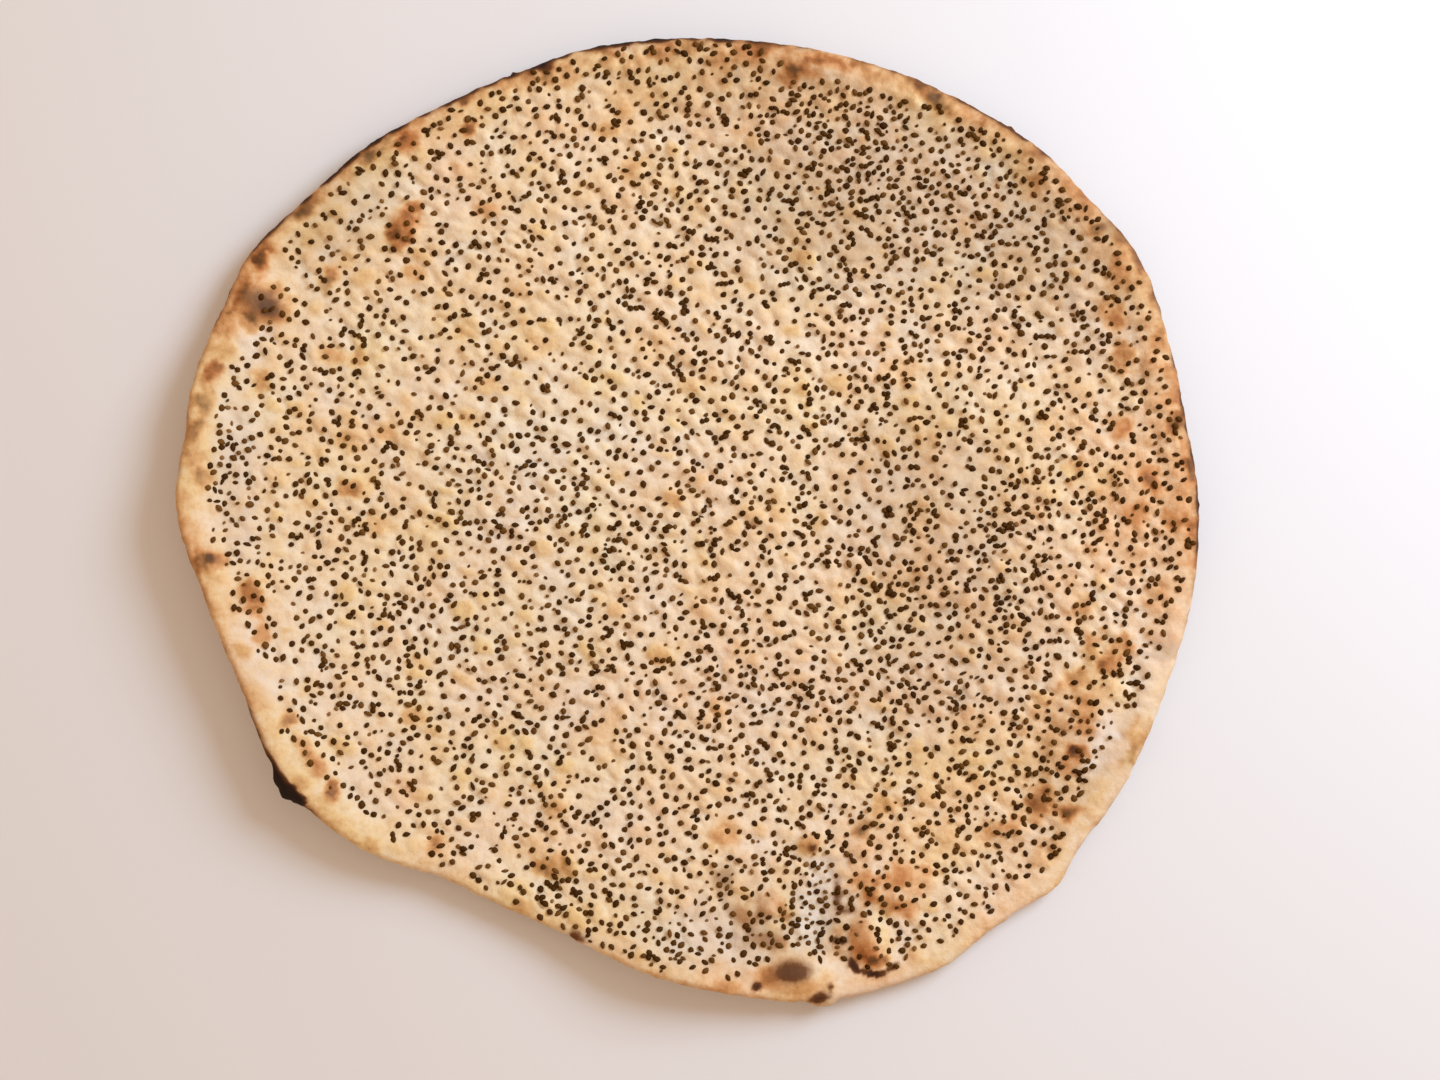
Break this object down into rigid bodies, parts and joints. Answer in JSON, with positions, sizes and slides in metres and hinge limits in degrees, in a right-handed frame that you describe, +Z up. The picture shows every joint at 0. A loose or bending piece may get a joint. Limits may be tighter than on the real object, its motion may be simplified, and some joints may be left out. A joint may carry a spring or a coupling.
{
  "type": "seeded flatbread",
  "caption": "Wide, thin baked flatbread with an unevenly curled rim, steam blisters in its top crust and a flat sole, strewn with small black seeds.",
  "frame": {"origin": "on the table, under the middle of the bread's outline", "axes": "+Z up through the bread's thickness, +X along its longest way across, to the right of the picture, and +Y to the top of the picture"},
  "size_m": [0.3408, 0.3242, 0.0191],
  "materials": {
    "crust": "matte",
    "seed_coat": "satin"
  },
  "bodies": {
    "root": {"bread": "crust"}
  },
  "joints": []
}
